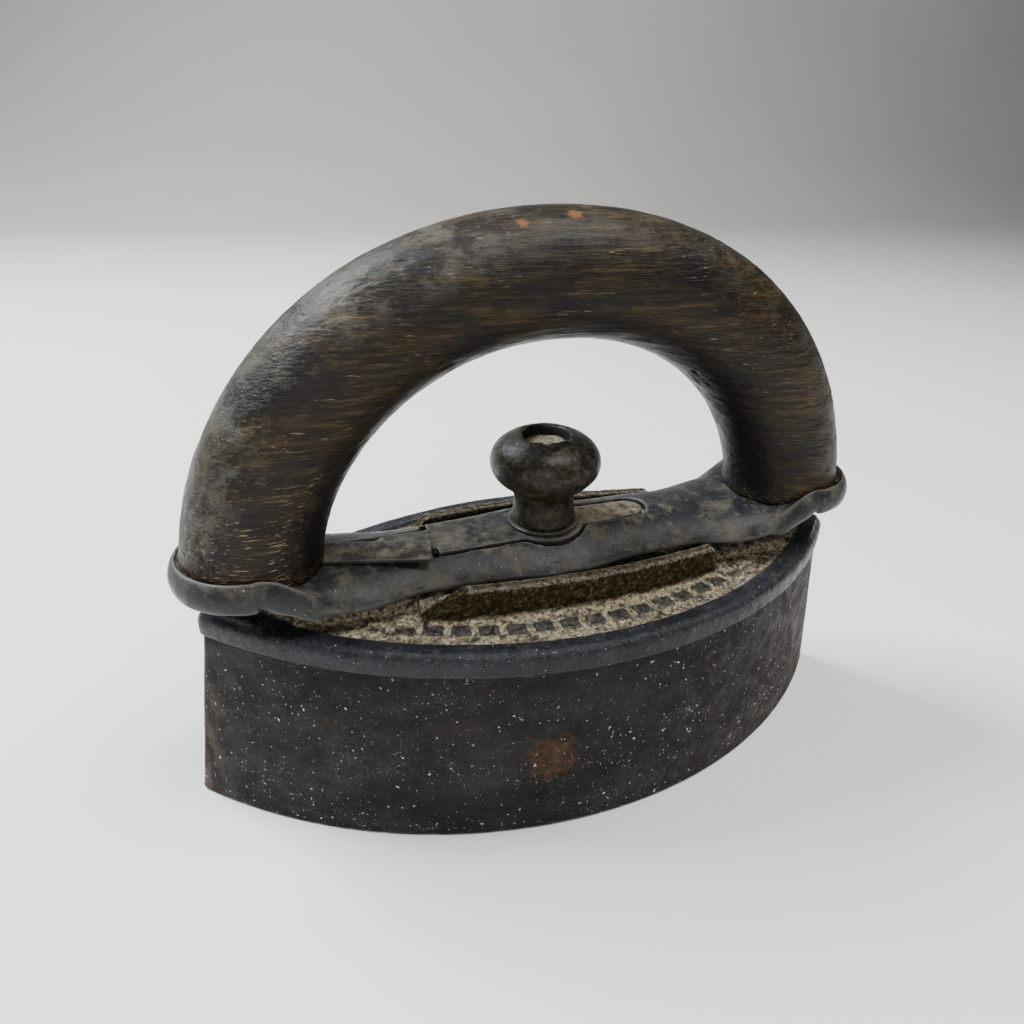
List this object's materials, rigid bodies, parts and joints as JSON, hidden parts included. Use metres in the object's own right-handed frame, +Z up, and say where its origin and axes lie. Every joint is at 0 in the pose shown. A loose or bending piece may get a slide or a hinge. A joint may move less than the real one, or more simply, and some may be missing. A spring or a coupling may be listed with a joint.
{
  "type": "detachable-handle sad iron",
  "caption": "Double-pointed cast iron for pressing cloth, with a lift-off arched wooden handle held by a sprung latch worked from a turned knob.",
  "frame": {"origin": "centre of the flat sole face", "axes": "+Z up from the sole, +X along the long axis towards the fixed-catch end, -X towards the latch end, +Y across the iron"},
  "size_m": [0.1752, 0.075, 0.1313],
  "materials": {
    "blackened_iron": "rough, blackened",
    "cap_iron": "rough, dusty",
    "plaster": "matte",
    "plate_steel": "dark satin",
    "lever_steel": "dark, worn",
    "spring_steel": "dark satin",
    "screw_steel": "dull",
    "dark_walnut": "dark, worn",
    "blackened_wood": "blackened, polished by use"
  },
  "bodies": {
    "iron": {"sole_body": "blackened_iron", "insulating_packing": "plaster", "cap": "cap_iron", "cap_screws": "screw_steel"},
    "handle": {"handle_plate": "plate_steel", "wood_grip": "dark_walnut", "grip_screws": "screw_steel", "fixed_catch": "plate_steel", "latch_bracket": "plate_steel", "latch_pin": "screw_steel"},
    "latch": {"latch_lever": "lever_steel", "knob": "blackened_wood", "knob_washer": "lever_steel", "knob_screw": "screw_steel", "knob_nut": "screw_steel"},
    "spring": {"leaf_spring": "spring_steel"}
  },
  "joints": [
    {"name": "handle_lift", "type": "slide", "parent": "iron", "child": "handle", "axis": [0, 0, 1], "range_m": [0, 0.06]},
    {"name": "latch_turn", "type": "hinge", "parent": "handle", "child": "latch", "pos_m": [-0.04596, 0, 0.05425], "axis": [0, -1, 0], "range_deg": [0, 15]},
    {"name": "spring_flex", "type": "hinge", "parent": "handle", "child": "spring", "pos_m": [-0.05638, -0.0002, 0.05987], "axis": [-0.2587, -0.9659, -0.0059], "range_deg": [0, 12]}
  ],
  "couplings": [
    {"joint": "spring_flex", "follows": "latch_turn", "ratio": 0.67}
  ]
}
